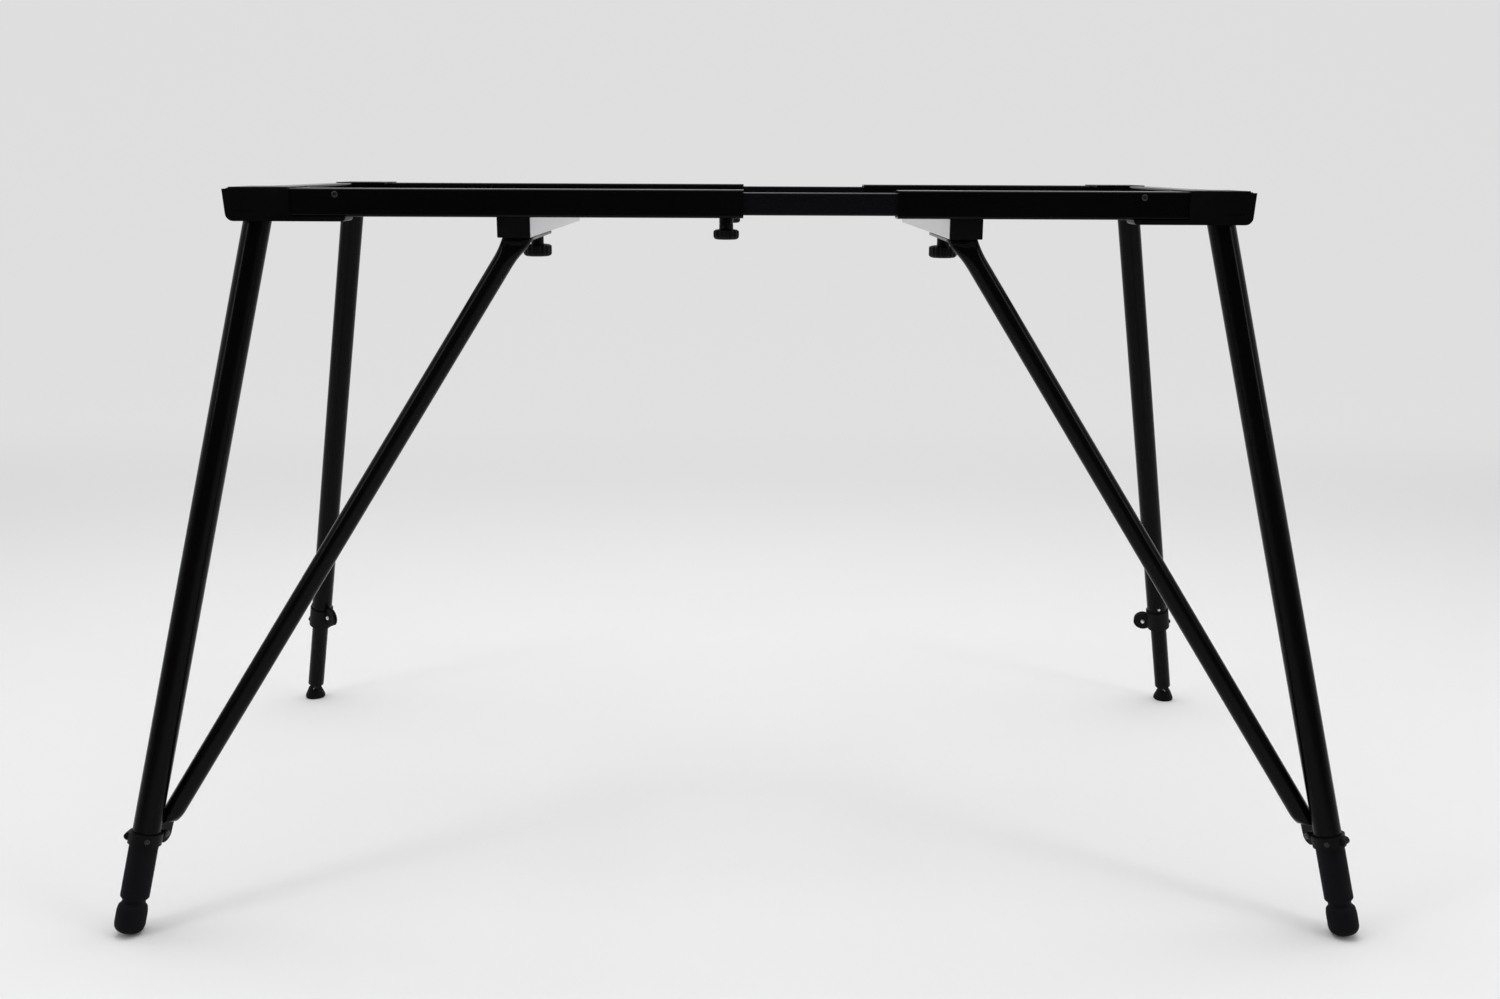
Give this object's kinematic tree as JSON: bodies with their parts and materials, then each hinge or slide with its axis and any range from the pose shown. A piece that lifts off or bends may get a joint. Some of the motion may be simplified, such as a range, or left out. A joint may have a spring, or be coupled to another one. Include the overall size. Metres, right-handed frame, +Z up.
{
  "type": "keyboard stand",
  "caption": "Table-style keyboard stand: rectangular tube frame of telescoping width on splayed tube legs with braces, crossbars, clamp knobs and levelling feet.",
  "frame": {"origin": "on the floor, at the middle of the stand's footprint", "axes": "+Z up, +X to the right along the rails, +Y to the back, away from the braced side"},
  "size_m": [1.494, 0.7964, 0.8675],
  "materials": {
    "frame_paint": "gloss black powder coat",
    "slide_paint": "gloss black paint",
    "leg_paint": "gloss black powder coat",
    "lower_paint": "gloss black paint with slide marks",
    "brace_paint": "gloss black powder coat",
    "black_zinc": "black zinc plate",
    "zinc": "bright zinc plate",
    "collar_plastic": "satin black moulded",
    "knob_plastic": "satin black moulded",
    "corner_plastic": "fine-grained black moulded",
    "bush_plastic": "satin black moulded",
    "cap_plastic": "satin black moulded",
    "brass": "turned",
    "crossbar_aluminium": "satin silver",
    "boot_rubber": "matte black",
    "plug_plastic": "satin black moulded",
    "pad_plastic": "satin black moulded"
  },
  "bodies": {
    "left_half": {"rail_front_left": "frame_paint", "rail_rear_left": "frame_paint", "corner_front_left": "corner_plastic", "corner_rear_left": "corner_plastic", "end_rail_left": "frame_paint", "guide_bushes_left": "bush_plastic", "corner_screws_left": "zinc", "leg_pins_left": "zinc", "crossbar_left": "crossbar_aluminium", "crossbar_caps_left": "cap_plastic", "crossbar_screws_left": "zinc", "crossbar_insert_left": "brass", "leg_front_left": "leg_paint", "brace_collar_left": "collar_plastic", "brace_fasteners_left": "black_zinc", "brace_left": "brace_paint"},
    "right_half": {"rail_front_right": "frame_paint", "rail_rear_right": "frame_paint", "corner_front_right": "corner_plastic", "corner_rear_right": "corner_plastic", "end_rail_right": "frame_paint", "guide_bushes_right": "bush_plastic", "corner_screws_right": "zinc", "leg_pins_right": "zinc", "crossbar_right": "crossbar_aluminium", "crossbar_caps_right": "cap_plastic", "crossbar_screws_right": "zinc", "crossbar_insert_right": "brass", "leg_front_right": "leg_paint", "brace_collar_right": "collar_plastic", "brace_fasteners_right": "black_zinc", "brace_right": "brace_paint", "slide_tube_front": "slide_paint", "slide_tube_rear": "slide_paint"},
    "near_tube_left": {"lower_leg_front_left": "lower_paint", "boot_left": "boot_rubber"},
    "far_leg_left": {"leg_rear_left": "leg_paint", "clamp_collar_left": "collar_plastic", "clamp_fasteners_left": "zinc"},
    "far_tube_left": {"lower_leg_rear_left": "lower_paint", "leg_plug_left": "plug_plastic"},
    "stud_left": {"levelling_screw_left": "zinc"},
    "pad_left": {"levelling_foot_left": "pad_plastic"},
    "brace_knob_left": {"brace_knob_left": "knob_plastic", "brace_knob_bolt_left": "zinc"},
    "near_tube_right": {"lower_leg_front_right": "lower_paint", "boot_right": "boot_rubber"},
    "far_leg_right": {"leg_rear_right": "leg_paint", "clamp_collar_right": "collar_plastic", "clamp_fasteners_right": "zinc"},
    "far_tube_right": {"lower_leg_rear_right": "lower_paint", "leg_plug_right": "plug_plastic"},
    "stud_right": {"levelling_screw_right": "zinc"},
    "pad_right": {"levelling_foot_right": "pad_plastic"},
    "brace_knob_right": {"brace_knob_right": "knob_plastic", "brace_knob_bolt_right": "zinc"},
    "rail_knob_front": {"rail_knob_front": "knob_plastic", "rail_knob_bolt_front": "zinc"},
    "rail_knob_rear": {"rail_knob_rear": "knob_plastic", "rail_knob_bolt_rear": "zinc"}
  },
  "joints": [
    {"name": "width", "type": "slide", "parent": "left_half", "child": "right_half", "axis": [1, 0, 0], "range_m": [-0.175, 0.15]},
    {"name": "near_height_left", "type": "slide", "parent": "left_half", "child": "near_tube_left", "axis": [-0.184, -0.2058, -0.9612], "range_m": [0, 0.1]},
    {"name": "far_fold_left", "type": "hinge", "parent": "left_half", "child": "far_leg_left", "pos_m": [-0.56515, 0.20258, 0.845], "axis": [-0.077, -0.9778, -0.1948], "range_deg": [0, 88]},
    {"name": "far_height_left", "type": "slide", "parent": "far_leg_left", "child": "far_tube_left", "axis": [-0.1904, 0.2062, -0.9598], "range_m": [-0.1, 0.09]},
    {"name": "level_left", "type": "slide", "parent": "far_tube_left", "child": "stud_left", "axis": [-0.1904, 0.2062, -0.9598], "range_m": [-0.0015, 0.012]},
    {"name": "pad_tilt_left", "type": "hinge", "parent": "stud_left", "child": "pad_left", "pos_m": [-0.73101, 0.38217, 0.009], "axis": [-0.7346, -0.6785, 0], "range_deg": [-6, 6]},
    {"name": "brace_knob_turn_left", "type": "hinge", "parent": "left_half", "child": "brace_knob_left", "pos_m": [-0.261, -0.0593, 0.79], "axis": [0, 0, 1], "continuous": true},
    {"name": "near_height_right", "type": "slide", "parent": "right_half", "child": "near_tube_right", "axis": [0.184, -0.2058, -0.9612], "range_m": [0, 0.1]},
    {"name": "far_fold_right", "type": "hinge", "parent": "right_half", "child": "far_leg_right", "pos_m": [0.56515, 0.20258, 0.845], "axis": [0, 0.9777, 0.21], "range_deg": [0, 88]},
    {"name": "far_height_right", "type": "slide", "parent": "far_leg_right", "child": "far_tube_right", "axis": [0.1904, 0.2062, -0.9598], "range_m": [-0.1, 0.09]},
    {"name": "level_right", "type": "slide", "parent": "far_tube_right", "child": "stud_right", "axis": [0.1904, 0.2062, -0.9598], "range_m": [-0.0015, 0.012]},
    {"name": "pad_tilt_right", "type": "hinge", "parent": "stud_right", "child": "pad_right", "pos_m": [0.73101, 0.38217, 0.009], "axis": [-0.7346, 0.6785, 0], "range_deg": [-6, 6]},
    {"name": "brace_knob_turn_right", "type": "hinge", "parent": "right_half", "child": "brace_knob_right", "pos_m": [0.261, -0.0593, 0.79], "axis": [0, 0, 1], "continuous": true},
    {"name": "rail_knob_turn_front", "type": "hinge", "parent": "left_half", "child": "rail_knob_front", "pos_m": [-0.0161, -0.2392, 0.815], "axis": [0, 0, 1], "continuous": true},
    {"name": "rail_knob_turn_rear", "type": "hinge", "parent": "left_half", "child": "rail_knob_rear", "pos_m": [-0.0161, 0.2392, 0.815], "axis": [0, 0, 1], "continuous": true}
  ]
}
